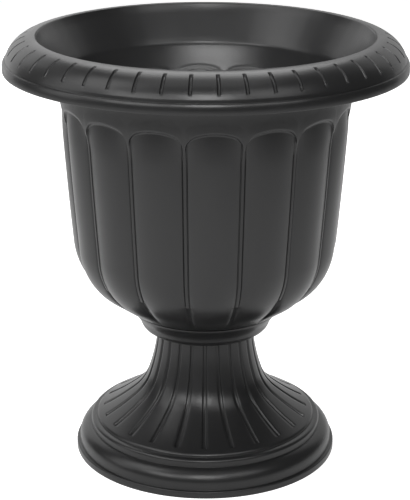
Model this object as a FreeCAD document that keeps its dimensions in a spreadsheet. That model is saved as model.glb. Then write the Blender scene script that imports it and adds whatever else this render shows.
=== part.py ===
import FreeCAD, Part
import math
import os
import re
import Sketcher
from FreeCAD import Placement, Rotation, Vector

# An urn planter of moulded plastic, 406 mm across the rim and 445 mm tall: a fluted bowl with a rolled
# rim, which stands on a hollow fluted pedestal, and four stoppers in the drain holes of its floor.
# The origin is at the middle of the pedestal's foot, +Z goes up, and the front is at -Y.
# Sizes are in millimetres and degrees. A radius is measured from the urn's upright axis, a height
# from the ground.
SIZES = {
    # The bowl's moulded wall and its rolled rim, an upside-down trough with a lip round its outside.
    "bowl_wall": 3.0,
    "rim_radius": 203.0,
    "rim_height": 445.0,
    "lip_drop": 23.7,
    "lip_depth": 10.0,
    "lip_projection": 3.3,
    "lip_bevel_width": 1.3,
    "lip_bevel_height": 3.3,
    "edge_step": 2.7,
    "rim_width": 29.7,
    "crest_width": 2.0,
    "throat_drop": 39.5,
    # The short slots pressed into the top of the rim.
    "slot_count": 48,
    "slot_width": 3.4,
    "slot_depth": 2.0,
    "slot_inner_margin": 10.0,
    "slot_outer_margin": 2.3,
    "slot_turn": 3.4,
    # The plain band below the rim, the tapering wall and the round shoulder under it.
    "band_radius": 147.3,
    "band_drop": 54.0,
    "wall_swell": 4200.0,
    "shoulder_round": 77.0,
    "shoulder_hub_radius": 59.6,
    "shoulder_hub_rise": 103.5,
    "shoulder_top_lean": 4.5,
    "shoulder_foot_lean": 56.0,
    # The lobes: the ribs that part them, the groove along each side of a rib, the valley below the
    # rib's foot, and the arched head of each lobe, which lies a little behind the band.
    "lobe_count": 16,
    "rib_turn": -8.05,
    "rib_width": 3.4,
    "rib_setback": 0.15,
    "rib_foot_lean": 29.0,
    "groove_width": 1.75,
    "groove_depth": 2.4,
    "valley_depth": 4.6,
    "valley_deep_lean": 43.0,
    "valley_end_lean": 51.0,
    "arch_drop": 12.0,
    "arch_rise": 17.0,
    "arch_corner_round": 15.0,
    "arch_fade": 34.0,
    "arch_depth": 2.0,
    # The cup under the bowl, with its floor, and the spigot ring that goes down into the neck.
    "collar_radius": 77.0,
    "collar_rise": 22.5,
    "cup_radius": 68.2,
    "cup_rise": 9.7,
    "cup_round": 11.0,
    "cup_foot_radius": 60.0,
    "floor_thickness": 3.5,
    "spigot_wall": 2.5,
    "spigot_length": 20.0,
    "spigot_clearance": 0.3,
    # The drain holes in the floor and their stoppers.
    "plug_count": 4,
    "drain_circle_radius": 28.0,
    "drain_radius": 8.0,
    "plug_clearance": 0.2,
    "plug_recess": 0.5,
    "plug_flange_overlap": 3.0,
    "plug_flange_thickness": 2.0,
    "tab_width": 9.0,
    "tab_thickness": 2.6,
    "tab_height": 7.0,
    # The pedestal: its wall, neck and flare.
    "pedestal_wall": 3.0,
    "neck_radius": 50.2,
    "neck_height": 133.5,
    "neck_sweep": 185.0,
    "waist_radius": 60.5,
    "waist_rise": 19.0,
    "waist_lean": 20.0,
    "bend_round": 46.0,
    "bend_radius": 74.0,
    "bend_rise": 25.6,
    "bend_lean": 50.0,
    "flare_sweep": 217.0,
    "flare_lean": 62.7,
    # The grooves of the pedestal.
    "flute_count": 24,
    "flute_turn": -0.5,
    "flute_width": 3.4,
    "flute_depth": 1.7,
    "flute_margin": 4.8,
    # The mouldings round the foot, from the bottom flange up: a large ovolo, a bead and a small step.
    "base_radius": 138.0,
    "flange_height": 7.3,
    "flange_round": 1.5,
    "flange_projection": 3.5,
    "ovolo_rise": 4.7,
    "ovolo_round": 15.5,
    "ovolo_width": 11.0,
    "bead_setback": 1.5,
    "bead_height": 7.6,
    "bead_round": 3.2,
    "ledge_width": 3.0,
    "step_height": 0.7,
    "step_round": 4.0,
    "step_width": 2.6,
    "step_rise": 3.2,
}

document = FreeCAD.newDocument("urn_planter")
sheet = document.addObject("Spreadsheet::Sheet", "Sizes")
for row, (alias, size) in enumerate(SIZES.items(), start=1):
    sheet.set(f"A{row}", alias.replace("_", " "))
    sheet.set(f"B{row}", str(size))
    sheet.setAlias(f"B{row}", alias)
document.recompute()


def bound(formula):
    """The formula with every size in it named as a cell of the sheet."""
    return re.sub(r"[a-z_]+", lambda word: f"Sizes.{word[0]}" if word[0] in SIZES else word[0], formula)


def value(formula):
    """What the formula comes to with the sheet's sizes."""
    return float(sheet.evalExpression(bound(formula)))


# Places that follow from the sizes, from the ground up.
OVOLO_RADIUS = "(base_radius - flange_projection)"
OVOLO_HEIGHT = "(flange_height + ovolo_rise)"
OVOLO_HUB = f"({OVOLO_RADIUS} - ovolo_round)"
OVOLO_START = f"({OVOLO_RADIUS} - ovolo_width)"
OVOLO_TOP = f"({OVOLO_HEIGHT} + sqrt(ovolo_round^2 - ({OVOLO_START} - {OVOLO_HUB})^2))"
BEAD_RADIUS = f"({OVOLO_START} - bead_setback)"
LEDGE_HEIGHT = f"({OVOLO_TOP} + bead_height)"
STEP_RADIUS = f"({BEAD_RADIUS} - bead_round - ledge_width)"
STEP_HEIGHT = f"({LEDGE_HEIGHT} + step_height)"
FLARE_RADIUS = f"({STEP_RADIUS} - step_width)"
FLARE_HEIGHT = f"({STEP_HEIGHT} + step_rise)"
BEND_HEIGHT = f"({FLARE_HEIGHT} + bend_rise)"
WAIST_HEIGHT = f"({BEND_HEIGHT} + waist_rise)"
SPIGOT_RADIUS = "(neck_radius - pedestal_wall - spigot_clearance)"
FLOOR_TOP = "(neck_height + floor_thickness)"
BAND_HEIGHT = "(rim_height - band_drop)"
ARCH_CROWN = f"({BAND_HEIGHT} - arch_drop)"
ARCH_SPRING = f"({ARCH_CROWN} - arch_rise)"
ARCH_FADE = f"({ARCH_CROWN} - arch_fade)"
LIP_LEDGE = "(rim_height - lip_drop)"
EDGE_RADIUS = "(rim_radius - lip_projection)"
EDGE_HEIGHT = f"({LIP_LEDGE} + edge_step)"
CREST_RADIUS = f"({EDGE_RADIUS} - rim_width)"
RIM_ROUND = "((rim_width^2 + (lip_drop - edge_step)^2) / (2 * (lip_drop - edge_step)))"


def origin_part(body, role):
    """One of the planes or axes of the body's own origin."""
    return next(part for part in body.Origin.OriginFeatures if part.Role == role)


def arc_between(start, end, radius):
    """The arc from start to end that turns left for a radius over zero, and right for one below it."""
    half_chord = (end - start) / 2
    rise = (radius * radius - half_chord.Length**2) ** 0.5
    to_left = Vector(-half_chord.y, half_chord.x, 0).normalize()
    middle = (start + end) / 2
    centre = middle + to_left * (rise if radius > 0 else -rise)
    first, last = (start, end) if radius > 0 else (end, start)
    circle = Part.Circle(centre, Vector(0, 0, 1), abs(radius))
    return Part.ArcOfCircle(circle, circle.parameter(first), circle.parameter(last))


def outline(body, name, plane, steps, turn="0"):
    """A closed outline on a plane of the body. A step is a corner (across, up) and, where the way on
    from it is round, the radius of that arc: over zero if it turns left. turn swings the plane about
    the upright axis."""
    sketch = body.newObject("Sketcher::SketchObject", name)
    sketch.AttachmentSupport = (origin_part(body, plane), [""])
    sketch.MapMode = "FlatFace"
    sketch.AttachmentOffset = Placement(Vector(), Rotation(Vector(0, 1, 0), 1))
    sketch.setExpression("AttachmentOffset.Rotation.Angle", bound(turn))
    corners = [Vector(value(step[0]), value(step[1]), 0) for step in steps]
    ends = []
    for number, step in enumerate(steps):
        start = corners[number]
        end = corners[(number + 1) % len(steps)]
        if len(step) == 2:
            sketch.addGeometry(Part.LineSegment(start, end))
            ends.append((1, 2))
            continue
        radius = value(step[2])
        sketch.addGeometry(arc_between(start, end, radius))
        ends.append((1, 2) if radius > 0 else (2, 1))
    for number, step in enumerate(steps):
        following = (number + 1) % len(steps)
        sketch.addConstraint(
            Sketcher.Constraint("Coincident", number, ends[number][1], following, ends[following][0])
        )
        for direction, formula, axis in (("DistanceX", step[0], -2), ("DistanceY", step[1], -1)):
            if formula == "0":
                sketch.addConstraint(Sketcher.Constraint("PointOnObject", number, ends[number][0], axis))
                continue
            place = Sketcher.Constraint(direction, -1, 1, number, ends[number][0], value(formula))
            index = sketch.addConstraint(place)
            sketch.setExpression(f"Constraints[{index}]", bound(formula))
        if len(step) > 2:
            index = sketch.addConstraint(Sketcher.Constraint("Radius", number, abs(value(step[2]))))
            sketch.setExpression(f"Constraints[{index}]", bound(step[2].lstrip("-")))
    return sketch


def turned(body, name, steps):
    """A solid of revolution about the upright axis."""
    feature = body.newObject("PartDesign::Revolution", name)
    sketch = outline(body, f"{name}_outline", "XZ_Plane", steps)
    feature.Profile = sketch
    feature.ReferenceAxis = (sketch, ["V_Axis"])
    return feature


def slab(body, kind, name, steps, width, turn="0"):
    """A Pad or a Pocket, half of its width to each side of a plane through the upright axis."""
    feature = body.newObject(f"PartDesign::{kind}", name)
    feature.Profile = outline(body, f"{name}_outline", "XZ_Plane", steps, turn)
    feature.SideType = "Symmetric"
    feature.setExpression("Length", bound(width))
    return feature


def repeated(body, name, feature, count):
    """Equal copies of the feature all round the upright axis."""
    pattern = body.newObject("PartDesign::PolarPattern", name)
    pattern.Originals = [feature]
    pattern.Axis = (origin_part(body, "Z_Axis"), [""])
    pattern.Angle = 360
    pattern.Refine = False
    pattern.setExpression("Occurrences", bound(count))
    body.Tip = pattern


def shoulder(lean, depth="0"):
    """The point of the bowl's round shoulder where the wall leans so far, at a depth inside it."""
    reach = f"(shoulder_round - ({depth}))"
    return (
        f"shoulder_hub_radius + {reach} * cos({lean})",
        f"neck_height + shoulder_hub_rise - {reach} * sin({lean})",
    )


def taper(height, depth="0"):
    """The point of the bowl's tapering wall at a height, at a depth inside it."""
    foot_radius, foot_height = shoulder("shoulder_top_lean")
    share = f"({height} - ({foot_height})) / ({BAND_HEIGHT} - ({foot_height}))"
    return f"{foot_radius} + (band_radius - ({foot_radius})) * {share} - ({depth})", height


def turn_bowl(body):
    """Rim, wall, cup, floor and spigot, which are one moulding of nearly the same thickness all over.
    Behind the heads of the lobes the wall steps inwards as far as the heads lie behind the band."""
    throat_height = "rim_height - throat_drop"
    lip_foot = f"{LIP_LEDGE} - lip_depth"
    lip_face = f"{LIP_LEDGE} - lip_bevel_height"
    turned(
        body,
        "bowl_wall",
        [
            ("rim_radius", lip_foot),
            ("rim_radius", lip_face),
            ("rim_radius - lip_bevel_width", LIP_LEDGE),
            (EDGE_RADIUS, LIP_LEDGE),
            (EDGE_RADIUS, EDGE_HEIGHT, RIM_ROUND),
            (CREST_RADIUS, "rim_height", "crest_width"),
            (f"{CREST_RADIUS} - crest_width", "rim_height - crest_width"),
            ("band_radius - bowl_wall", throat_height),
            ("band_radius - bowl_wall", BAND_HEIGHT),
            taper(f"({ARCH_CROWN} + bowl_wall)", "bowl_wall"),
            taper(ARCH_CROWN, "bowl_wall + arch_depth"),
            taper(ARCH_FADE, "bowl_wall"),
            (*shoulder("shoulder_top_lean", "bowl_wall"), "-(shoulder_round - bowl_wall)"),
            shoulder("shoulder_foot_lean", "bowl_wall"),
            ("collar_radius - bowl_wall * 0.9", "neck_height + collar_rise + bowl_wall * 0.7"),
            ("cup_radius - bowl_wall * 0.8", "neck_height + cup_rise + bowl_wall * 0.5"),
            ("cup_foot_radius", FLOOR_TOP),
            ("0", FLOOR_TOP),
            ("0", "neck_height"),
            (f"{SPIGOT_RADIUS} - spigot_wall", "neck_height"),
            (f"{SPIGOT_RADIUS} - spigot_wall", "neck_height - spigot_length"),
            (SPIGOT_RADIUS, "neck_height - spigot_length"),
            (SPIGOT_RADIUS, "neck_height"),
            ("cup_foot_radius", "neck_height", "cup_round"),
            ("cup_radius", "neck_height + cup_rise"),
            ("collar_radius", "neck_height + collar_rise"),
            (*shoulder("shoulder_foot_lean"), "shoulder_round"),
            (*shoulder("shoulder_top_lean"), "wall_swell"),
            ("band_radius", BAND_HEIGHT),
            ("band_radius + bowl_wall * 0.6", throat_height),
            (f"{CREST_RADIUS} + crest_width / 2", "rim_height - bowl_wall", f"-({RIM_ROUND} - bowl_wall)"),
            (f"{EDGE_RADIUS} - bowl_wall", EDGE_HEIGHT),
            ("rim_radius - bowl_wall", lip_face),
            ("rim_radius - bowl_wall", lip_foot),
        ],
    )


def slot_end(radius):
    """The end of a slot's floor, which is as round as the rim's top."""
    reach = f"({RIM_ROUND} - slot_depth)^2 - ({radius} - {CREST_RADIUS})^2"
    return radius, f"rim_height - {RIM_ROUND} + sqrt({reach})"


def cut_rim_slots(body):
    """The short slots in the rim's round top."""
    inner_radius = f"({CREST_RADIUS} + slot_inner_margin)"
    outer_radius = f"({EDGE_RADIUS} - slot_outer_margin)"
    steps = [
        (inner_radius, "rim_height"),
        (*slot_end(inner_radius), f"-({RIM_ROUND} - slot_depth)"),
        slot_end(outer_radius),
        (outer_radius, "rim_height"),
    ]
    slot = slab(body, "Pocket", "rim_slot", steps, "slot_width", "slot_turn")
    repeated(body, "rim_slots", slot, "slot_count")


def back_valleys(body):
    """The ridges inside the bowl, which keep the wall its full thickness behind the valleys."""
    backing = "bowl_wall + groove_depth"
    rooted = "bowl_wall / 2"
    steps = [
        taper(ARCH_CROWN, rooted),
        taper(ARCH_SPRING, backing),
        (*shoulder("shoulder_top_lean", backing), f"-(shoulder_round - ({backing}))"),
        shoulder("rib_foot_lean", backing),
        shoulder("valley_deep_lean", "bowl_wall + valley_depth"),
        (*shoulder("valley_end_lean", rooted), f"shoulder_round - {rooted}"),
        shoulder("shoulder_top_lean", rooted),
    ]
    ridge = slab(body, "Pad", "ridge", steps, "rib_width + groove_width * 2 + bowl_wall", "rib_turn")
    repeated(body, "ridges", ridge, "lobe_count")


def cut_valleys(body):
    """The valleys between the lobes, as wide as a rib and its two grooves."""
    end_radius, end_height = shoulder("valley_end_lean")
    outside = "band_radius + groove_depth"
    steps = [
        (outside, ARCH_SPRING),
        taper(ARCH_SPRING, "groove_depth"),
        (*shoulder("shoulder_top_lean", "groove_depth"), "-(shoulder_round - groove_depth)"),
        shoulder("rib_foot_lean", "groove_depth"),
        shoulder("valley_deep_lean", "valley_depth"),
        (end_radius, end_height),
        (outside, end_height),
    ]
    valley = slab(body, "Pocket", "valley", steps, "rib_width + groove_width * 2", "rib_turn")
    repeated(body, "valleys", valley, "lobe_count")


def stand_ribs(body):
    """The ribs, which stand in the valleys nearly flush with the band and end square at their feet."""
    root = "groove_depth + bowl_wall / 4"
    steps = [
        ("band_radius - rib_setback", BAND_HEIGHT),
        (f"band_radius - ({root})", BAND_HEIGHT),
        (*shoulder("shoulder_top_lean", root), f"-(shoulder_round - ({root}))"),
        shoulder("rib_foot_lean", root),
        (*shoulder("rib_foot_lean", "rib_setback"), "shoulder_round - rib_setback"),
        (*shoulder("shoulder_top_lean", "rib_setback"), "wall_swell - rib_setback"),
    ]
    rib = slab(body, "Pad", "rib", steps, "rib_width", "rib_turn")
    repeated(body, "ribs", rib, "lobe_count")


def drill_drains(body):
    """The drain holes in the floor, inside the spigot ring."""
    sketch = body.newObject("Sketcher::SketchObject", "drain_outline")
    sketch.AttachmentSupport = (origin_part(body, "XY_Plane"), [""])
    sketch.MapMode = "FlatFace"
    centre = Vector(value("drain_circle_radius"), 0, 0)
    sketch.addGeometry(Part.Circle(centre, Vector(0, 0, 1), value("drain_radius")))
    sketch.addConstraint(Sketcher.Constraint("PointOnObject", 0, 3, -1))
    sketch.addConstraint(Sketcher.Constraint("DistanceX", -1, 1, 0, 3, centre.x))
    sketch.setExpression("Constraints[1]", bound("drain_circle_radius"))
    sketch.addConstraint(Sketcher.Constraint("Radius", 0, value("drain_radius")))
    sketch.setExpression("Constraints[2]", bound("drain_radius"))
    drain = body.newObject("PartDesign::Pocket", "drain")
    drain.Profile = sketch
    drain.Type = "ThroughAll"
    drain.SideType = "Symmetric"
    repeated(body, "drains", drain, "plug_count")


def arch_window(half_width, foot, spring, rise, depth):
    """A lobe's outline seen from the front: upright sides and a three-centred arch over them, from
    the upright axis forwards."""
    corner_round = value("arch_corner_round")
    inset = half_width - corner_round
    turn = math.pi / 2 - 2 * math.atan((rise - corner_round) / inset)
    crown = Vector(0, 0, spring + rise)
    edges = [Part.makeLine(Vector(-half_width, 0, foot), Vector(half_width, 0, foot))]
    for side in (-1, 1):
        hub = Vector(side * inset, 0, spring)
        start = hub + Vector(side * corner_round, 0, 0)
        halfway = Vector(side * math.cos(turn / 2), 0, math.sin(turn / 2)) * corner_round
        end = hub + Vector(side * math.cos(turn), 0, math.sin(turn)) * corner_round
        crown_round = corner_round + inset / math.cos(turn)
        crown_turn = (turn + math.pi / 2) / 2
        towards_crown = Vector(side * math.cos(crown_turn), 0, math.sin(crown_turn)) * crown_round
        crown_hub = crown - Vector(0, 0, crown_round)
        edges.append(Part.makeLine(Vector(side * half_width, 0, foot), start))
        edges.append(Part.Arc(start, hub + halfway, end).toShape())
        edges.append(Part.Arc(end, crown_hub + towards_crown, crown).toShape())
    window = Part.Face(Part.Wire(Part.__sortEdges__(edges)))
    return window.extrude(Vector(0, -depth, 0))


def lobe_heads():
    """What the arched heads of the lobes lie behind: a wedge round the wall, deepest at the crown of
    the arch and run out at its foot, as far as it shows through the arches between the ribs."""
    wall_radius, crown = (value(formula) for formula in taper(ARCH_CROWN))
    fade_radius, fade = (value(formula) for formula in taper(ARCH_FADE))
    outside = wall_radius + value("bowl_wall")
    wedge_corners = [
        Vector(outside, 0, crown),
        Vector(wall_radius - value("arch_depth"), 0, crown),
        Vector(fade_radius, 0, fade),
        Vector(outside, 0, fade),
    ]
    wedge = Part.Face(Part.makePolygon([*wedge_corners, wedge_corners[0]]))
    pitch = 360 / value("lobe_count")
    upright = Vector(0, 0, 1)
    ring = wedge.revolve(Vector(), upright, pitch)
    ring.rotate(Vector(), upright, -90 - pitch / 2)
    half_width = value("band_radius * sin(180 / lobe_count) - rib_width / 2")
    window = arch_window(half_width, fade, value(ARCH_SPRING), value("arch_rise"), 2 * outside)
    head = ring.common(window)
    heads = []
    for number in range(int(value("lobe_count"))):
        copy = head.copy()
        copy.rotate(Vector(), upright, value("rib_turn") + pitch * (number + 0.5))
        heads.append(copy)
    cutter = document.addObject("Part::Feature", "lobe_heads")
    cutter.Shape = Part.makeCompound(heads)
    return cutter


def make_bowl():
    """The bowl, with its slots, lobes and drain holes."""
    body = document.addObject("PartDesign::Body", "bowl_moulding")
    turn_bowl(body)
    cut_rim_slots(body)
    back_valleys(body)
    cut_valleys(body)
    stand_ribs(body)
    drill_drains(body)
    bowl = document.addObject("Part::Cut", "bowl")
    bowl.Base = body
    bowl.Tool = lobe_heads()
    return bowl


def hollow(radius, height, lean, depth="0"):
    """A corner of the pedestal's sweep, or the same corner at a depth inside a wall that leans so far."""
    return f"{radius} - ({depth}) * cos({lean})", f"{height} - ({depth}) * sin({lean})"


def sweep(depth="0"):
    """The pedestal's sweep from the neck down to the mouldings, at a depth inside its wall."""
    return [
        (f"neck_radius - ({depth})", "neck_height", f"neck_sweep + ({depth})"),
        (*hollow("waist_radius", WAIST_HEIGHT, "waist_lean", depth), f"bend_round + ({depth})"),
        (*hollow("bend_radius", BEND_HEIGHT, "bend_lean", depth), f"flare_sweep + ({depth})"),
    ]


def turn_pedestal(body):
    """The pedestal's wall, from the neck down inside to the foot and up again outside."""
    inner_round = "(ovolo_round - pedestal_wall)"
    inner_start = f"{BEAD_RADIUS} - pedestal_wall"
    inner_top = f"{OVOLO_HEIGHT} + sqrt({inner_round}^2 - ({inner_start} - {OVOLO_HUB})^2)"
    outside = sweep()
    upwards = [
        (*outside[2][:2], "-bend_round"),
        (*outside[1][:2], "-neck_sweep"),
        outside[0][:2],
    ]
    turned(
        body,
        "pedestal_wall",
        [
            *sweep("pedestal_wall"),
            hollow(FLARE_RADIUS, FLARE_HEIGHT, "flare_lean", "pedestal_wall"),
            (f"{STEP_RADIUS} - pedestal_wall", f"{LEDGE_HEIGHT} - pedestal_wall"),
            (inner_start, f"{LEDGE_HEIGHT} - pedestal_wall"),
            (inner_start, inner_top, f"-{inner_round}"),
            (f"{OVOLO_RADIUS} - pedestal_wall", OVOLO_HEIGHT),
            (f"{OVOLO_RADIUS} - pedestal_wall", "flange_height - pedestal_wall"),
            ("base_radius - pedestal_wall", "flange_height - pedestal_wall"),
            ("base_radius - pedestal_wall", "0"),
            ("base_radius", "0"),
            ("base_radius", "flange_height - flange_round", "flange_round"),
            ("base_radius - flange_round", "flange_height"),
            (OVOLO_RADIUS, "flange_height"),
            (OVOLO_RADIUS, OVOLO_HEIGHT, "ovolo_round"),
            (OVOLO_START, OVOLO_TOP),
            (BEAD_RADIUS, OVOLO_TOP),
            (BEAD_RADIUS, f"{LEDGE_HEIGHT} - bead_round", "bead_round"),
            (f"{BEAD_RADIUS} - bead_round", LEDGE_HEIGHT),
            (STEP_RADIUS, LEDGE_HEIGHT),
            (STEP_RADIUS, STEP_HEIGHT, "step_round"),
            (FLARE_RADIUS, FLARE_HEIGHT, "-flare_sweep"),
            *upwards,
        ],
    )


def cut_flutes(body):
    """The grooves down the neck and the flare, which end square above the mouldings."""
    end_radius = f"({FLARE_RADIUS} - flute_margin)"
    end_height = f"({FLARE_HEIGHT} + flute_margin / tan(flare_lean))"
    steps = [
        *sweep("flute_depth"),
        hollow(end_radius, end_height, "flare_lean", "flute_depth"),
        hollow(end_radius, end_height, "flare_lean", "-flute_depth * 3"),
        (end_radius, "neck_height"),
    ]
    flute = slab(body, "Pocket", "flute", steps, "flute_width", "flute_turn")
    repeated(body, "flutes", flute, "flute_count")


def make_pedestal():
    """The pedestal, a hollow moulding open underneath."""
    body = document.addObject("PartDesign::Body", "pedestal")
    turn_pedestal(body)
    cut_flutes(body)
    return body


def make_plug(number):
    """One of the stoppers: a stem in a drain hole, a flange that lies on the floor and a finger tab."""
    body = document.addObject("PartDesign::Body", f"drain_plug_{number}")
    stem_radius = "drain_radius - plug_clearance"
    flange_radius = "drain_radius + plug_flange_overlap"
    flange_top = f"{FLOOR_TOP} + plug_flange_thickness"
    edge = "plug_flange_thickness / 3"
    turned(
        body,
        f"plug_{number}",
        [
            ("0", "neck_height + plug_recess"),
            (f"{stem_radius} - {edge}", "neck_height + plug_recess"),
            (stem_radius, f"neck_height + plug_recess + {edge}"),
            (stem_radius, FLOOR_TOP),
            (flange_radius, FLOOR_TOP),
            (flange_radius, f"{flange_top} - {edge}", edge),
            (f"{flange_radius} - {edge}", flange_top),
            ("0", flange_top),
        ],
    )
    tab_top = f"{flange_top} + tab_height"
    corner = "tab_width / 3"
    tab_steps = [
        ("-tab_width / 2", FLOOR_TOP),
        ("tab_width / 2", FLOOR_TOP),
        ("tab_width / 2", f"{tab_top} - {corner}", corner),
        (f"tab_width / 2 - {corner}", tab_top),
        (f"{corner} - tab_width / 2", tab_top, corner),
        ("-tab_width / 2", f"{tab_top} - {corner}"),
    ]
    slab(body, "Pad", f"tab_{number}", tab_steps, "tab_thickness")
    turn = f"360 / plug_count * {number - 1}"
    body.setExpression("Placement.Base.x", bound(f"drain_circle_radius * cos({turn})"))
    body.setExpression("Placement.Base.y", bound(f"drain_circle_radius * sin({turn})"))
    return body


pieces = [make_bowl(), make_pedestal()]
pieces += [make_plug(number + 1) for number in range(int(value("plug_count")))]
document.recompute()

for thing in document.Objects:
    if {"Invalid", "Error"} & set(thing.State):
        raise RuntimeError(f"{thing.Label} can't be built: {thing.State}")

os.makedirs("parts", exist_ok=True)
for piece in pieces:
    if piece.Shape.isNull() or not piece.Shape.isValid() or len(piece.Shape.Solids) != 1:
        raise RuntimeError(f"{piece.Label} is not one sound solid")
    piece.Shape.exportStep(f"parts/{piece.Label}.step")
    print(f"{piece.Label}: {piece.Shape.Volume / 1000:.1f} cm3")
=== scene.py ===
import math

import bmesh
import bpy
from mathutils import Matrix, Vector


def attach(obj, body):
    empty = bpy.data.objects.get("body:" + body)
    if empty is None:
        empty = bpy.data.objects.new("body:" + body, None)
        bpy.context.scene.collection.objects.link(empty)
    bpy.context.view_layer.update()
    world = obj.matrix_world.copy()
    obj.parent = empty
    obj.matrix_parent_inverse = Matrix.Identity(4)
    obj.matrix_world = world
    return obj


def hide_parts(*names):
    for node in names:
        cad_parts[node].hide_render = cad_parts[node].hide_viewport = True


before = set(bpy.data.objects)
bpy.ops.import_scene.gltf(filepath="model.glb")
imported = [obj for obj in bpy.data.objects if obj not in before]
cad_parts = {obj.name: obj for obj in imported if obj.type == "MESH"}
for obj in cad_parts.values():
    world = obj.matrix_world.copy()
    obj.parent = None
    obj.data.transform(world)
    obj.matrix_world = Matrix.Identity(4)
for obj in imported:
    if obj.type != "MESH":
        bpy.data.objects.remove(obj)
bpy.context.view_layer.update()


# ---- The bowl ----
# One hollow moulding of satin black polypropylene: the rolled rim with its slots, the wall with its
# sixteen arched lobes, the cup and the floor. It stands loose on the pedestal, with its spigot ring in
# the neck. Sizes of the pieces are in millimetres and degrees, and each mesh is brought to metres.
MILLIMETRE = 0.001
WELD_GAP = 0.001
SHARP_TURN = 50
LOBES = 16
PITCH = 360 / LOBES
COLUMNS = 30
WALL = 3.0
BAND = (147.3, 391.0)
WALL_FOOT = 231
WALL_ROW_SPACING = 9.5
WALL_SWELL = 0.75
WALL_TAPER = 0.06

RIB_TURN = -8.05
RIB_FOOT_LEAN = 32.0
RIB_HALF_WIDTH = 2.4
INNER_RIB_HALF_WIDTH = 3.4
LOBE_SWELL = 1.7
CREASE_DEPTH = 1.1
VALLEY_DEPTH = 2.4
VALLEY_EASE_LEAN = 3.0
VALLEY_DEEP_LEAN = 42.0
RUN_OUT = 42.0
INNER_RUN_OUT = 18.0

SHOULDER_HUB = (59.6, 237.0)
SHOULDER_ROUND = 77.0
SHOULDER_TOP_LEAN = 4.5
SHOULDER_FOOT_LEAN = 56.0
COLLAR_CREASE = ((76.9, 155.9), (75.3, 156.5), (75.3, 157.3), (79.6, 157.9))
CUP_CORNER = (68.2, 143.2)
SPIGOT_RADIUS = 46.9
SPIGOT_FOOT = 113.5
FLOOR_RADIUS = 44.4
FLOOR_UNDERSIDE = 133.5
FLOOR_TOP = 137.0
CUP_EDGE_ROUND = 0.6
WELL_EDGE_ROUND = 4.0
DRAIN_HOLES = 4
DRAIN_CIRCLE = 28.0
DRAIN_RADIUS = 8.0
DRAIN_SEGMENTS = 48

ARCH_CROWN = 379.0
ARCH_RISE = 17.0
ARCH_CORNER = 15.0
ARCH_DEPTH = 2.0
ARCH_FADE = 345.0
ARCH_GAP = 1.2
ARCH_HALF_WIDTH = BAND[0] * math.radians(PITCH / 2) - ARCH_GAP
HEAD_FLATNESS = 0.85
HEAD_POWER = 1.5
SPANDREL_SINK = 2.0
STEP_REACH = 1.0
STEP_WIDTH = 1.6
INNER_STEP_WIDTH = 5.0

CREST = (170.0, 445.0)
CREST_ROUND = 2
RIM_ROUND = 31.5
RIM_EDGE = (199.7, 424.0)
RIM_EDGE_ROUND = 0.5
MOUTH_RADIUS = 144.3
SLOT_INNER_RADIUS = 180.0
SLOT_OUTER_RADIUS = 197.4
SLOT_DEPTH = 2.0
SLOT_TURN = 3.4
SLOT_PITCH = 7.5
SLOT_COLUMNS = 10


def held(share):
    """A share held between 0 and 1."""
    return min(max(share, 0), 1)


def smooth(share):
    """A share held between 0 and 1 and eased at both ends."""
    share = held(share)
    return share * share * (3 - 2 * share)


def bend(start, end, radius, steps):
    """The points between start and end on an arc that turns left for a radius over zero."""
    across, up = end[0] - start[0], end[1] - start[1]
    chord = math.hypot(across, up)
    rise = math.copysign(math.sqrt(radius**2 - chord**2 / 4), radius)
    hub_across = (start[0] + end[0]) / 2 - up / chord * rise
    hub_up = (start[1] + end[1]) / 2 + across / chord * rise
    first = math.atan2(start[1] - hub_up, start[0] - hub_across)
    sweep = 2 * math.asin(chord / 2 / radius)
    reach = abs(radius)
    turns = [first + sweep * step / steps for step in range(1, steps)]
    return [(hub_across + reach * math.cos(turn), hub_up + reach * math.sin(turn)) for turn in turns]


def straight(start, end, steps):
    """The points between start and end on a straight run."""
    shares = [step / steps for step in range(1, steps)]
    return [(start[0] + (end[0] - start[0]) * s, start[1] + (end[1] - start[1]) * s) for s in shares]


def eased(path, radius, sharpest=25, side_share=0.45):
    """The path with each corner that turns by more than sharpest degrees rounded to a small radius.

    The rounding takes up no more than side_share of the sides next to a corner."""
    rounded = [path[0]]
    for before, corner, after in zip(path, path[1:], path[2:]):
        back = Vector((before[0] - corner[0], before[1] - corner[1]))
        ahead = Vector((after[0] - corner[0], after[1] - corner[1]))
        turn = math.pi - back.angle(ahead)
        if math.degrees(turn) < sharpest:
            rounded.append(corner)
            continue
        reach = min(radius * math.tan(turn / 2), back.length * side_share, ahead.length * side_share)
        back.normalize()
        ahead.normalize()
        middle = (back + ahead).normalized() * reach * math.tan(turn / 4)
        for move in (back * reach, middle, ahead * reach):
            rounded.append((corner[0] + move.x, corner[1] + move.y))
    rounded.append(path[-1])
    return rounded


def turned(points, steps, closed=False):
    """A mesh turned from the points of a section, with the number of its row on each vertex."""
    mesh = bmesh.new()
    row_of = mesh.verts.layers.int.new("row")
    section = [mesh.verts.new((radius, 0, height)) for radius, height in points]
    for number, point in enumerate(section):
        point[row_of] = number
    following = section[1:] + (section[:1] if closed else [])
    edges = [mesh.edges.new(pair) for pair in zip(section, following)]
    bmesh.ops.spin(
        mesh,
        geom=section + edges,
        axis=(0, 0, 1),
        cent=(0, 0, 0),
        angle=math.tau,
        steps=steps,
        use_merge=True,
    )
    return mesh


def in_scene(name, data):
    """An object of some data, linked into the scene at the origin."""
    thing = bpy.data.objects.new(name, data)
    bpy.context.scene.collection.objects.link(thing)
    return thing


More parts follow.
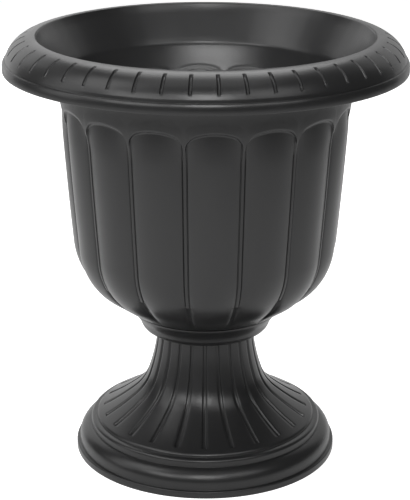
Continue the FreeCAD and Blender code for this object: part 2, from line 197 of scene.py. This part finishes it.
def finished(mesh, name, sharpest):
    """The object of a mesh in millimetres, smooth but for edges that turn by sharpest or more."""
    bmesh.ops.recalc_face_normals(mesh, faces=mesh.faces)
    bmesh.ops.scale(mesh, verts=mesh.verts, vec=(MILLIMETRE, MILLIMETRE, MILLIMETRE))
    for face in mesh.faces:
        face.smooth = True
    for edge in mesh.edges:
        edge.smooth = edge.is_manifold and edge.calc_face_angle() < math.radians(sharpest)
    data = bpy.data.meshes.new(name)
    mesh.to_mesh(data)
    mesh.free()
    return in_scene(name, data)


def shoulder_point(lean, depth=0.0):
    """A point of the round shoulder, or of one at a depth under it, by its lean below level."""
    turn = math.radians(lean)
    reach = SHOULDER_ROUND - depth
    return SHOULDER_HUB[0] + reach * math.cos(turn), SHOULDER_HUB[1] - reach * math.sin(turn)


def wall_radius(height):
    """The radius of the tapering wall, which swells by less than a millimetre half way up."""
    foot = shoulder_point(SHOULDER_TOP_LEAN)
    share = (height - foot[1]) / (BAND[1] - foot[1])
    return foot[0] + (BAND[0] - foot[0]) * share + 4 * WALL_SWELL * share * (1 - share)


def arch_height(across):
    """The height of a lobe's three-centred arch at a distance across from the lobe's middle."""
    inset = ARCH_HALF_WIDTH - ARCH_CORNER
    turn = math.pi / 2 - 2 * math.atan((ARCH_RISE - ARCH_CORNER) / inset)
    spring = ARCH_CROWN - ARCH_RISE
    if across >= ARCH_HALF_WIDTH:
        return spring
    if across > inset + ARCH_CORNER * math.cos(turn):
        return spring + math.sqrt(ARCH_CORNER**2 - (across - inset) ** 2)
    crown_round = ARCH_CORNER + inset / math.cos(turn)
    return ARCH_CROWN - crown_round + math.sqrt(crown_round**2 - across**2)


# The rows of the moulding's section, from inside the spigot up the outside, over the rim and down
# the inside. Each is (radius, height, kind), and the kind says how it is shaped on the way round.
rows = []


def add_rows(kind, points):
    rows.extend((radius, height, kind) for radius, height in points)


spigot = [
    (FLOOR_RADIUS, FLOOR_UNDERSIDE),
    (FLOOR_RADIUS, SPIGOT_FOOT),
    (SPIGOT_RADIUS, SPIGOT_FOOT),
    (SPIGOT_RADIUS, FLOOR_UNDERSIDE),
    (59.0, FLOOR_UNDERSIDE),
    *bend((60.0, FLOOR_UNDERSIDE), CUP_CORNER, 11.0, 5),
    CUP_CORNER,
    *straight(CUP_CORNER, COLLAR_CREASE[0], 3),
    *COLLAR_CREASE,
    shoulder_point(SHOULDER_FOOT_LEAN),
]
add_rows("plain", eased(spigot, CUP_EDGE_ROUND)[:-1])
add_rows("cone", straight(COLLAR_CREASE[-1], shoulder_point(SHOULDER_FOOT_LEAN), 9))
shoulder_leans = [56, 54.5, 53, 51, 49.5, 48, 46.5, *range(45, 34, -2), 33.5, 32.5, 32.1, 31.9, 31.4]
shoulder_leans += [29, 26.5, 24, 21, 18, 15, 12, 9, 6.5]
add_rows("shoulder", [shoulder_point(lean) for lean in shoulder_leans])
wall_heights = [WALL_FOOT + WALL_ROW_SPACING * step for step in range(12)]
add_rows("wall", [(wall_radius(height), height) for height in wall_heights])
head_heights = [*range(345, 374, 4), 376.5, 378.2, 378.7, 378.95, 379.05, 379.3, 379.8]
head_heights += [381.5, 384, 387.5]
add_rows("wall", [(wall_radius(height), height) for height in head_heights])
under_rim = [
    BAND,
    (147.7, 395.0),
    (149.1, 405.5),
    (155.0, 415.3),
    (163.0, 428.7),
    (171.0, 442.0),
    *bend((171.0, 442.0), (196.7, 424.0), -28.5, 7),
    (196.7, 424.0),
    (200.0, 418.0),
    (200.0, 411.3),
    (203.0, 411.3),
    (203.0, 418.0),
    (201.7, 421.3),
    (RIM_EDGE[0], 421.3),
    RIM_EDGE,
    (199.0, 425.9),
]
add_rows("rim", eased(under_rim, RIM_EDGE_ROUND)[:-1])

# The radii at which a slot's two ends run up, and the share of its depth that it has at each.
slot_ends = {179.4: 0, 180.0: 0.15, 181.4: 0.85, 182.2: 1, 197.0: 1, 197.25: 0.85, 197.4: 0.12, 197.7: 0}
end_radii = sorted(slot_ends, reverse=True)
end_leans = [math.degrees(math.asin((radius - CREST[0]) / RIM_ROUND)) for radius in end_radii]
rim_leans = [68, 65, *end_leans[:4], *range(55, 22, -4), *end_leans[4:], 14.5, 11, 7.5, 4, 0]
for lean in rim_leans:
    turn = math.radians(lean)
    rim_radius = CREST[0] + RIM_ROUND * math.sin(turn)
    rows.append((rim_radius, CREST[1] - RIM_ROUND + RIM_ROUND * math.cos(turn), "rim top"))
crest_edge = (CREST[0] - CREST_ROUND, CREST[1] - CREST_ROUND)
add_rows("rim", bend(CREST, crest_edge, CREST_ROUND, 4))
add_rows("flare", [crest_edge, *straight(crest_edge, (MOUTH_RADIUS, 405.5), 5)])
add_rows("flare", bend((146.5, 408.8), (MOUTH_RADIUS, 402.5), 10, 4))
add_rows("inner wall", [(MOUTH_RADIUS, 402.5), (MOUTH_RADIUS, 397), (MOUTH_RADIUS, BAND[1])])
inner_heads = [387.5, 384, 381.5, 379.5, 378, 376.5, 374, 369, 363, 357, 351, 345]
add_rows("inner wall", [(wall_radius(height) - WALL, height) for height in inner_heads])
add_rows("inner wall", [(wall_radius(height) - WALL, height) for height in wall_heights[::-1]])
inner_leans = [10, 16, 22, 28, 33, 38, 43, 47, 51, 56]
add_rows("inner shoulder", [shoulder_point(lean, WALL) for lean in inner_leans])
well = [
    shoulder_point(SHOULDER_FOOT_LEAN, WALL),
    (74.3, 158.1),
    (65.8, 144.7),
    (60.0, FLOOR_TOP),
    (FLOOR_RADIUS, FLOOR_TOP),
]
add_rows("plain", eased(well, WELL_EDGE_ROUND)[1:])

# How far from the middle of a rib or a slot its columns stand, and the share of its depth at each.
rib_places = [0, 1.0, 1.4, 1.65, 2.1, 2.5, 2.8, 3.4]
crease_shares = [0, 0, 0.12, 0.85, 1, 0.8, 0.12, 0]
valley_shares = [1, 0.97, 0.9, 0.84, 0.7, 0.5, 0.32, 0.12]
ridge_places = [0, 1.2, 2.2, 3.0, 3.8, 4.6, 5.6, 7.0]
slot_places = [0, 1.1, 1.55, 1.9, 2.5]
slot_shares = [1, 0.88, 0.45, 0, 0]


def rib_column(column, radius, places):
    """The turn from the rib's middle, in degrees, of a column counted from there."""
    side = math.copysign(1, column)
    number = abs(column)
    if number < len(places):
        return side * math.degrees(places[number] / radius)
    last = math.degrees(places[-1] / radius)
    share = (number - len(places) + 1) / (COLUMNS // 2 - len(places) + 1)
    return side * (last + (PITCH / 2 - last) * share)


def slot_column(column, radius):
    """The turn from the rib's middle of a column in the rim, and how deep a slot is there."""
    first = (SLOT_TURN - RIB_TURN) % SLOT_PITCH - 2 * SLOT_PITCH
    slot = (column + COLUMNS // 2 + SLOT_COLUMNS // 2) // SLOT_COLUMNS
    offset = column + COLUMNS // 2 - SLOT_COLUMNS * slot
    if abs(offset) == SLOT_COLUMNS // 2:
        return first + slot * SLOT_PITCH + offset * SLOT_PITCH / SLOT_COLUMNS, 0
    turn = math.degrees(slot_places[abs(offset)] / radius)
    return first + slot * SLOT_PITCH + math.copysign(turn, offset), slot_shares[abs(offset)]


def arched(height, across):
    """Where a row of the wall lies once the rows follow the lobe's arch."""
    if height <= ARCH_FADE or height >= BAND[1]:
        return height
    arch = arch_height(across)
    above, below = ARCH_CROWN + STEP_REACH, ARCH_CROWN - STEP_REACH
    if height > above:
        room = BAND[1] - arch - STEP_REACH
        return arch + STEP_REACH + room * (height - above) / (BAND[1] - above)
    if height > below:
        return arch + height - ARCH_CROWN
    return ARCH_FADE + (arch - STEP_REACH - ARCH_FADE) * (height - ARCH_FADE) / (below - ARCH_FADE)


def step_share(height, width):
    """How much of the arch's step a row has: none above the arch, all of it below."""
    return smooth((ARCH_CROWN + width / 2 - height) / width)


def drain_place(number, level):
    turn = math.tau * number / DRAIN_HOLES
    return DRAIN_CIRCLE * math.cos(turn), DRAIN_CIRCLE * math.sin(turn), level


bowl_mesh = turned([(radius, height) for radius, height, kind in rows], LOBES * COLUMNS)
row_of = bowl_mesh.verts.layers.int["row"]
for vertex in bowl_mesh.verts:
    radius, height, kind = rows[vertex[row_of]]
    turn = round(math.degrees(math.atan2(vertex.co.y, vertex.co.x)) / PITCH * COLUMNS)
    lobe = (turn + COLUMNS // 2) // COLUMNS
    column = turn - lobe * COLUMNS
    depth = 0
    normal = (1, 0)
    if kind in ("rim", "rim top", "flare"):
        bearing, slot_share = slot_column(column, radius)
        if kind == "rim top":
            normal = ((radius - CREST[0]) / RIM_ROUND, (height - CREST[1] + RIM_ROUND) / RIM_ROUND)
            within = 1 if SLOT_INNER_RADIUS < radius < SLOT_OUTER_RADIUS else 0
            depth = SLOT_DEPTH * slot_share * slot_ends.get(round(radius, 3), within)
    else:
        inner = kind.startswith("inner")
        bearing = rib_column(column, radius, ridge_places if inner else rib_places)
        number = abs(column)
        beside_rib = not inner and number < len(rib_places)
        crease = CREASE_DEPTH * crease_shares[number] if beside_rib else 0
        across = math.radians(PITCH / 2 - abs(bearing)) * radius
        rib_half_width = INNER_RIB_HALF_WIDTH if inner else RIB_HALF_WIDTH
        lobe_side = math.radians(PITCH / 2) * radius - rib_half_width
        swell = LOBE_SWELL * min(across, lobe_side) ** 2 / (2 * radius)
        if kind.endswith("wall") and height < BAND[1]:
            step = step_share(height, INNER_STEP_WIDTH if inner else STEP_WIDTH)
            head = held((height - ARCH_FADE) / (ARCH_CROWN - ARCH_FADE)) ** HEAD_POWER
            height = arched(height, across)
            radius = wall_radius(height) - (WALL if inner else 0)
            pillow = swell * (1 - HEAD_FLATNESS * head) + crease * (1 - head / 2)
            depth = step * (ARCH_DEPTH * head + pillow)
            if not inner:
                spandrel = held((ARCH_CROWN - height) / ARCH_RISE) ** HEAD_POWER
                depth += (1 - step) * SPANDREL_SINK * spandrel
            normal = (1, -WALL_TAPER)
        elif kind == "cone" or kind.endswith("shoulder"):
            if kind == "cone":
                lean = SHOULDER_FOOT_LEAN
                beyond_foot = math.dist(shoulder_point(lean), (radius, height))
            else:
                lean = math.degrees(math.atan2(SHOULDER_HUB[1] - height, radius - SHOULDER_HUB[0]))
                beyond_foot = 0
            normal = (math.cos(math.radians(lean)), -math.sin(math.radians(lean)))
            run = math.radians(lean - VALLEY_DEEP_LEAN) * SHOULDER_ROUND + beyond_foot
            run_out = smooth(1 - run / (INNER_RUN_OUT if inner else RUN_OUT))
            depth = swell * run_out
            if lean < RIB_FOOT_LEAN:
                depth += crease
            elif beside_rib:
                deepening = min((lean - RIB_FOOT_LEAN) / VALLEY_EASE_LEAN, 1)
                valley = CREASE_DEPTH + (VALLEY_DEPTH - CREASE_DEPTH) * deepening
                depth += valley * valley_shares[number] * run_out
    radius -= depth * normal[0]
    height -= depth * normal[1]
    bearing = math.radians(RIB_TURN + lobe * PITCH + bearing)
    vertex.co = (radius * math.sin(bearing), -radius * math.cos(bearing), height)

# The floor has the drain holes: both its faces are filled round them, and short walls join these.
floor_edges = {FLOOR_UNDERSIDE: [], FLOOR_TOP: []}
for edge in bowl_mesh.edges:
    if edge.is_boundary:
        floor_edges[round(edge.verts[0].co.z, 3)].append(edge)
holes = {}
for level, ring in floor_edges.items():
    holes[level] = []
    for number in range(DRAIN_HOLES):
        circle = bmesh.ops.create_circle(
            bowl_mesh, cap_ends=False, radius=DRAIN_RADIUS, segments=DRAIN_SEGMENTS
        )["verts"]
        bmesh.ops.translate(bowl_mesh, verts=circle, vec=drain_place(number, level))
        holes[level].append(list({edge for vertex in circle for edge in vertex.link_edges}))
    all_edges = ring + [edge for hole in holes[level] for edge in hole]
    bmesh.ops.triangle_fill(bowl_mesh, edges=all_edges, use_beauty=True)
for lower, upper in zip(holes[FLOOR_UNDERSIDE], holes[FLOOR_TOP]):
    bmesh.ops.bridge_loops(bowl_mesh, edges=lower + upper)
bmesh.ops.remove_doubles(bowl_mesh, verts=bowl_mesh.verts, dist=WELD_GAP)
urn_bowl = finished(bowl_mesh, "urn_bowl", SHARP_TURN)


class Node:
    """A socket whose arithmetic adds the material's Math nodes."""

    def __init__(self, tree, socket):
        self.tree = tree
        self.socket = socket

    def maths(self, operation, other):
        node = self.tree.nodes.new("ShaderNodeMath")
        node.operation = operation
        for entry, value in zip(node.inputs, (self, other)):
            plug_in(self.tree, entry, value)
        return Node(self.tree, node.outputs[0])

    def __add__(self, other):
        return self.maths("ADD", other)

    def __mul__(self, other):
        return self.maths("MULTIPLY", other)

    __radd__ = __add__
    __rmul__ = __mul__


def plug_in(tree, entry, thing):
    """Links a node to a socket, or sets the socket to a plain value."""
    if isinstance(thing, Node):
        tree.links.new(thing.socket, entry)
    else:
        entry.default_value = thing


def add_node(tree, kind, settings=None, inputs=None, output=0):
    """A node of a kind with its settings and the values or links of its sockets."""
    node = tree.nodes.new(kind)
    for name, setting in (settings or {}).items():
        setattr(node, name, setting)
    for name, thing in (inputs or {}).items():
        plug_in(tree, node.inputs[name], thing)
    return Node(tree, node.outputs[output])


# Black polypropylene as it leaves a satin mould: its two blacks, how they mingle, how far its sheen
# varies and how deep its grain is, in metres.
BLACK = (0.011, 0.011, 0.0113, 1)
BLOOM_BLACK = (0.017, 0.017, 0.0174, 1)
CLOUD_SHARE = 0.7
SPECK_SHARE = 0.3
BOWL_SHEEN = 0.32
CLOUD_SHEEN = 0.12
SPECK_SHEEN = 0.06
GRAIN_DEPTH = 0.00012
GRAIN_STRENGTH = 0.35
SPECK_RELIEF = 0.6
PLASTIC_IOR = 1.49


def moulded(name, dark, pale, sheen):
    """A moulded skin: a fine grain, slight unevenness in its sheen, and a faint paler bloom."""
    material = bpy.data.materials.new(name)
    material.use_nodes = True
    tree = material.node_tree
    shader = tree.nodes["Principled BSDF"]
    place = add_node(tree, "ShaderNodeTexCoord", output="Object")

    def noise(scale, detail, roughness):
        sockets = {"Vector": place, "Scale": scale, "Detail": detail, "Roughness": roughness}
        return add_node(tree, "ShaderNodeTexNoise", {}, sockets)

    grain = noise(1400.0, 3.0, 0.6)
    cloud = noise(22.0, 4.0, 0.55)
    speck = noise(420.0, 2.0, 0.5)
    shades = {"Factor": cloud * CLOUD_SHARE + speck * SPECK_SHARE, 6: dark, 7: pale}
    bloom = add_node(tree, "ShaderNodeMix", {"data_type": "RGBA"}, shades, 2)
    plug_in(tree, shader.inputs["Base Color"], bloom)
    smoothest = sheen - (CLOUD_SHEEN + SPECK_SHEEN) / 2
    plug_in(tree, shader.inputs["Roughness"], cloud * CLOUD_SHEEN + speck * SPECK_SHEEN + smoothest)
    height = grain + speck * SPECK_RELIEF
    relief = {"Strength": GRAIN_STRENGTH, "Distance": GRAIN_DEPTH, "Height": height}
    plug_in(tree, shader.inputs["Normal"], add_node(tree, "ShaderNodeBump", {}, relief))
    plug_in(tree, shader.inputs["IOR"], PLASTIC_IOR)
    return material


urn_bowl.data.materials.append(moulded("bowl_plastic", BLACK, BLOOM_BLACK, BOWL_SHEEN))
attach(urn_bowl, "bowl")
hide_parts("bowl")


# ---- The pedestal ----
# A second hollow moulding of the same plastic, open underneath: a fluted neck that sweeps out to a
# stepped, rounded foot. The bowl's spigot ring sits down in its neck.
PEDESTAL_SHEEN = 0.31
FLUTES = 24
FLUTE_PITCH = 360 / FLUTES
FLUTE_COLUMNS = 16
FLUTE_TURN = -0.5
FLUTE_DEPTH = 1.8
FLUTE_HALF_WIDTH = 1.6
FLUTE_WIDENING = 0.65
FLUTE_RUN = 93.0
FLUTE_END_RADIUS = 108.4
FLUTE_END_RISE = 0.4
FLUTE_END_CLEAR = (107.0, 109.6)
NECK = (50.2, 133.5)
WAIST = (60.5, 83.0)
KNEE = (74.0, 64.0)
FLARE_END = (113.2, 38.4)
FOOT_RIM = (138.0, 3.0)
HOLLOW_EDGE_ROUND = 0.5
MOULDING_EDGE_ROUND = 0.4

# How far from a flute's side its columns stand, and the share of its depth at each.
flute_places = [-0.45, -0.15, 0.15, 0.55]
flute_shares = [1, 0.85, 0.12, 0]
pedestal_rows = []


def add_pedestal_rows(kind, points):
    pedestal_rows.extend((radius, height, kind) for radius, height in points)


inner_foot = [
    (47.2, 133.5),
    *bend((47.2, 133.5), (57.7, 82.0), 188, 8),
    (57.7, 82.0),
    *bend((57.7, 82.0), (72.1, 61.7), 49, 7),
    (72.1, 61.7),
    *bend((72.1, 61.7), (111.8, 35.7), 220, 9),
    (111.8, 35.7),
    (112.8, 31.5),
    (119.0, 31.5),
    (119.0, 24.5),
    *bend((119.0, 24.5), (131.5, 12.0), -12.5, 5),
    (131.5, 12.0),
    (131.5, 4.3),
    (135.0, 4.3),
    (135.0, 0.0),
    (FOOT_RIM[0], 0.0),
    FOOT_RIM,
]
add_pedestal_rows("plain", eased(inner_foot, HOLLOW_EDGE_ROUND))
mouldings = [
    FOOT_RIM,
    (138.0, 5.8),
    *bend((138.0, 5.8), (136.5, 7.3), 1.5, 4),
    (136.5, 7.3),
    (134.5, 7.3),
    (134.5, 12.0),
    *bend((134.5, 12.0), (123.5, 26.65), 15.5, 10),
    (123.5, 26.65),
    (122.0, 26.65),
    (122.0, 31.3),
    *bend((122.0, 31.3), (118.8, 34.5), 3.2, 5),
    (118.8, 34.5),
    (115.8, 34.5),
    (115.8, 35.2),
    *bend((115.8, 35.2), FLARE_END, 4.0, 4),
    FLARE_END,
]
add_pedestal_rows("plain", eased(mouldings, MOULDING_EDGE_ROUND)[1:])
flare_path = [
    FLARE_END,
    *bend(FLARE_END, KNEE, -217, 14),
    KNEE,
    *bend(KNEE, WAIST, -46, 12),
    WAIST,
    *bend(WAIST, NECK, -185, 14),
    NECK,
]
# The flutes end sharply, so the rows of the flare stand close together there.
flare_rows = [point for point in flare_path if not FLUTE_END_CLEAR[0] < point[0] < FLUTE_END_CLEAR[1]]
for radius in (FLUTE_END_RADIUS + away for away in (0.8, 0.3, 0.1, -0.1, -0.6)):
    lower = min(point for point in flare_path if point[0] > radius)
    upper = max(point for point in flare_path if point[0] <= radius)
    share = (radius - upper[0]) / (lower[0] - upper[0])
    flare_rows.append((radius, upper[1] + (lower[1] - upper[1]) * share))
flare_rows.sort(key=lambda point: point[1])
add_pedestal_rows("flute", flare_rows[1:])

pedestal_points = [(radius, height) for radius, height, kind in pedestal_rows]
pedestal_mesh = turned(pedestal_points, FLUTES * FLUTE_COLUMNS, closed=True)
row_of = pedestal_mesh.verts.layers.int["row"]
flat_columns = FLUTE_COLUMNS // 2 - len(flute_places)
for vertex in pedestal_mesh.verts:
    number = vertex[row_of]
    radius, height, kind = pedestal_rows[number]
    turn = round(math.degrees(math.atan2(vertex.co.y, vertex.co.x)) / FLUTE_PITCH * FLUTE_COLUMNS)
    flute = (turn + FLUTE_COLUMNS // 2) // FLUTE_COLUMNS
    column = turn - flute * FLUTE_COLUMNS
    half_width = FLUTE_HALF_WIDTH + FLUTE_WIDENING * held((NECK[1] - height) / FLUTE_RUN)
    side = math.copysign(1, column)
    place = abs(column)
    if place == 0:
        bearing, share = 0, 1
    elif place <= len(flute_places):
        bearing = side * math.degrees((half_width + flute_places[place - 1]) / radius)
        share = flute_shares[place - 1]
    else:
        last = math.degrees((half_width + flute_places[-1]) / radius)
        beyond = (place - len(flute_places)) / flat_columns
        bearing = side * (last + (FLUTE_PITCH / 2 - last) * beyond)
        share = 0
    if kind == "flute":
        before = pedestal_rows[number - 1]
        after = pedestal_rows[(number + 1) % len(pedestal_rows)]
        if after[2] != "flute":
            after = pedestal_rows[number]
        along = Vector((after[0] - before[0], after[1] - before[1])).normalized()
        ends = held((FLUTE_END_RADIUS + FLUTE_END_RISE / 2 - radius) / FLUTE_END_RISE)
        depth = FLUTE_DEPTH * share * ends
        radius -= depth * along.y
        height += depth * along.x
    bearing = math.radians(FLUTE_TURN + flute * FLUTE_PITCH + bearing)
    vertex.co = (radius * math.sin(bearing), -radius * math.cos(bearing), height)
bmesh.ops.remove_doubles(pedestal_mesh, verts=pedestal_mesh.verts, dist=WELD_GAP)
urn_pedestal = finished(pedestal_mesh, "urn_pedestal", SHARP_TURN)
urn_pedestal.data.materials.append(moulded("pedestal_plastic", BLACK, BLOOM_BLACK, PEDESTAL_SHEEN))
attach(urn_pedestal, "pedestal")
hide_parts("pedestal")


# ---- The drain stoppers ----
# Four soft rubber stoppers, pushed by hand into the drain holes of the floor: a stem, a flange that
# lies on the floor and a finger tab to pull them by.
RUBBER_BLACK = (0.017, 0.017, 0.018, 1)
RUBBER_BLOOM = (0.024, 0.024, 0.024, 1)
RUBBER_SHEEN = 0.66
STOPPER_SHARP_TURN = 40
STOPPER_FOOT = 134.0
STOPPER_TOP = 139.0
STEM_RADIUS = 7.8
FLANGE_RADIUS = 11.0
FLANGE_SIDE_TOP = 138.3
TAB_SIZE = (9.0, 2.6, 8.2)
TAB_MIDDLE = 141.9
TAB_CORNER = 3.0
TAB_EDGE = 0.5
STOPPER_EDGE_ROUND = 0.25
STOPPER_COLUMNS = 64

stopper_section = [
    (0, STOPPER_FOOT),
    (7.1, STOPPER_FOOT),
    *bend((7.1, STOPPER_FOOT), (STEM_RADIUS, 134.7), 0.7, 3),
    (STEM_RADIUS, 134.7),
    (STEM_RADIUS, 135.6),
    (7.5, 135.9),
    (STEM_RADIUS, 136.2),
    (STEM_RADIUS, FLOOR_TOP),
    (FLANGE_RADIUS, FLOOR_TOP),
    (FLANGE_RADIUS, FLANGE_SIDE_TOP),
    *bend((FLANGE_RADIUS, FLANGE_SIDE_TOP), (10.3, STOPPER_TOP), 0.7, 3),
    (10.3, STOPPER_TOP),
    (8.9, STOPPER_TOP),
    (8.5, 138.7),
    (6.5, 138.7),
    (6.1, STOPPER_TOP),
    (0, STOPPER_TOP),
]


def round_off(mesh, edges, offset, segments):
    bmesh.ops.bevel(
        mesh,
        geom=edges,
        offset=offset,
        segments=segments,
        profile=0.5,
        affect="EDGES",
        material=-1,
    )


def is_top_corner(edge):
    """Whether an edge of the tab runs through its thickness at its top."""
    span = edge.verts[0].co - edge.verts[1].co
    return abs(span.x) < 0.1 and abs(span.y) > 1 and edge.verts[0].co.z > TAB_MIDDLE


def is_tab_side(face):
    """Whether a face is one of the tab's two broad sides."""
    half = TAB_SIZE[1] / 2
    return all(abs(abs(v.co.y) - half) < 0.01 and v.co.z > FLOOR_TOP + 0.5 for v in face.verts)


rubber = moulded("stopper_rubber", RUBBER_BLACK, RUBBER_BLOOM, RUBBER_SHEEN)
for number in range(DRAIN_HOLES):
    stopper_mesh = turned(eased(stopper_section, STOPPER_EDGE_ROUND), STOPPER_COLUMNS)
    bmesh.ops.remove_doubles(stopper_mesh, verts=stopper_mesh.verts, dist=WELD_GAP)
    tab = bmesh.ops.create_cube(stopper_mesh, size=1)["verts"]
    bmesh.ops.scale(stopper_mesh, verts=tab, vec=TAB_SIZE)
    bmesh.ops.translate(stopper_mesh, verts=tab, vec=(0, 0, TAB_MIDDLE))
    tab_edges = {edge for vertex in tab for edge in vertex.link_edges}
    round_off(stopper_mesh, [edge for edge in tab_edges if is_top_corner(edge)], TAB_CORNER, 8)
    side_edges = {edge for face in stopper_mesh.faces if is_tab_side(face) for edge in face.edges}
    bare_edges = [edge for edge in side_edges if max(v.co.z for v in edge.verts) > FLOOR_TOP + 1]
    round_off(stopper_mesh, bare_edges, TAB_EDGE, 3)
    bmesh.ops.translate(stopper_mesh, verts=stopper_mesh.verts, vec=drain_place(number, 0))
    stopper = finished(stopper_mesh, f"stopper_{number + 1}", STOPPER_SHARP_TURN)
    stopper.data.materials.append(rubber)
    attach(stopper, f"plug_{number + 1}")
    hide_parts(f"drain_plug_{number + 1}")


# ---- The floor and the studio ----
# A white studio floor, which keeps the urn's soft shadow, and soft boxes all round. Near the urn the
# floor also glows in the urn's reflections, a painted reflection that lightens its lower sides. The
# strongest box hangs high at the back, and a small card brightens the inside of the bowl.
WHITE = (1, 1, 1, 1)
FLOOR_WHITE = (0.8, 0.8, 0.8, 1)
FLOOR_REACH = 12
FLOOR_GLOW = 0.86
SHEET_RADIUS = 1.5
SHEET_FADE = 0.8
REFLECTION_GLOW = 0.42
SURROUND = 0.08
BACKDROP = 1.0
URN_MIDDLE = Vector((0, 0, 0.28))

floor_mesh = bmesh.new()
bmesh.ops.create_grid(floor_mesh, x_segments=1, y_segments=1, size=FLOOR_REACH)
floor_data = bpy.data.meshes.new("studio_floor")
floor_mesh.to_mesh(floor_data)
floor_mesh.free()
studio_floor = in_scene("studio_floor", floor_data)
floor_paint = bpy.data.materials.new("floor_paint")
floor_paint.use_nodes = True
tree = floor_paint.node_tree
tree.nodes.remove(tree.nodes["Principled BSDF"])
matt = add_node(tree, "ShaderNodeBsdfDiffuse", {}, {"Color": FLOOR_WHITE})
white = add_node(tree, "ShaderNodeEmission", {}, {"Color": WHITE, "Strength": FLOOR_GLOW})
seen = add_node(tree, "ShaderNodeLightPath", output="Is Camera Ray")
mirrored = add_node(tree, "ShaderNodeLightPath", output="Is Glossy Ray")
place = add_node(tree, "ShaderNodeTexCoord", output="Object")
away = add_node(tree, "ShaderNodeVectorMath", {"operation": "LENGTH"}, {0: place}, "Value")
# Glossy rays see the floor glow within a round sheet about the urn: a painted reflection on the urn.
sheet = {"Value": away, "From Min": SHEET_RADIUS, "From Max": SHEET_RADIUS - SHEET_FADE}
bright = add_node(tree, "ShaderNodeMapRange", {"interpolation_type": "SMOOTHSTEP"}, sheet)
glow = add_node(tree, "ShaderNodeMixShader", {}, {0: seen + mirrored * bright * REFLECTION_GLOW, 2: white})
both = add_node(tree, "ShaderNodeAddShader", {}, {0: matt, 1: glow})
plug_in(tree, tree.nodes["Material Output"].inputs["Surface"], both)
floor_data.materials.append(floor_paint)

world = bpy.data.worlds.new("studio")
bpy.context.scene.world = world
world.use_nodes = True
tree = world.node_tree
surround = add_node(tree, "ShaderNodeBackground", {}, {"Color": WHITE, "Strength": SURROUND})
backdrop = add_node(tree, "ShaderNodeBackground", {}, {"Color": WHITE, "Strength": BACKDROP})
seen = add_node(tree, "ShaderNodeLightPath", output="Is Camera Ray")
both = add_node(tree, "ShaderNodeMixShader", {}, {0: seen, 1: surround, 2: backdrop})
plug_in(tree, tree.nodes["World Output"].inputs["Surface"], both)


def area_lamp(name, place, aim, size, power):
    """A rectangular lamp at a place, which faces a point and isn't seen by the camera."""
    lamp_data = bpy.data.lights.new(name, "AREA")
    lamp_data.shape = "RECTANGLE"
    lamp_data.size, lamp_data.size_y = size
    lamp_data.energy = power
    lamp = in_scene(name, lamp_data)
    lamp.location = place
    lamp.rotation_euler = (Vector(aim) - Vector(place)).to_track_quat("-Z", "Y").to_euler()
    lamp.visible_camera = False


def soft_box(name, turn, rise, away, size, power):
    """A lamp that faces the middle of the urn, turned from the front and raised, in degrees."""
    turn, rise = math.radians(turn), math.radians(rise)
    spot = Vector((math.sin(turn) * math.cos(rise), -math.cos(turn) * math.cos(rise), math.sin(rise)))
    area_lamp(name, URN_MIDDLE + spot * away, URN_MIDDLE, size, power)


soft_box("front_box", 0, 36, 1.9, (0.7, 0.6), 12.0)
soft_box("front_left_box", -40, 30, 1.9, (1.0, 0.6), 8.0)
soft_box("front_right_box", 40, 40, 1.9, (0.8, 0.8), 5.0)
soft_box("left_box", -80, 20, 1.6, (0.7, 1.0), 3.5)
soft_box("high_left_box", -75, 50, 1.7, (0.8, 0.8), 5.0)
soft_box("back_left_box", -150, 16, 1.9, (1.6, 1.6), 8.0)
soft_box("back_right_box", 150, 16, 1.9, (1.6, 1.6), 5.0)
soft_box("high_back_box", 180, 55, 1.9, (1.2, 1.2), 15.0)
soft_box("top_box", 0, 88, 1.6, (1.2, 1.2), 4.0)
# The card lies inside the bowl, low at its front, and lights the wall at the back.
area_lamp("bowl_card", (-0.01, -0.075, 0.335), (0.04, 0.13, 0.385), (0.13, 0.07), 0.3)


# ---- The camera ----
# A long lens 1.57 m in front of the urn and a little above its rim, which looks down at it.
FOCAL_PIXELS = 1598.4
PICTURE_WIDTH = 410
SENSOR_WIDTH = 36
CAMERA_PLACE = (-0.0005, -1.5733, 0.7588)
CAMERA_DIP = 19.013
CAMERA_ROLL = 0.124
camera_data = bpy.data.cameras.new("camera")
camera_data.sensor_fit = "HORIZONTAL"
camera_data.sensor_width = SENSOR_WIDTH
camera_data.lens = FOCAL_PIXELS * SENSOR_WIDTH / PICTURE_WIDTH
camera = in_scene("camera", camera_data)
camera.location = CAMERA_PLACE
camera.rotation_mode = "QUATERNION"
dip = Matrix.Rotation(math.radians(90 - CAMERA_DIP), 4, "X")
camera.rotation_quaternion = (dip @ Matrix.Rotation(math.radians(CAMERA_ROLL), 4, "Z")).to_quaternion()
bpy.context.scene.camera = camera

bpy.context.scene.view_settings.view_transform = "Standard"
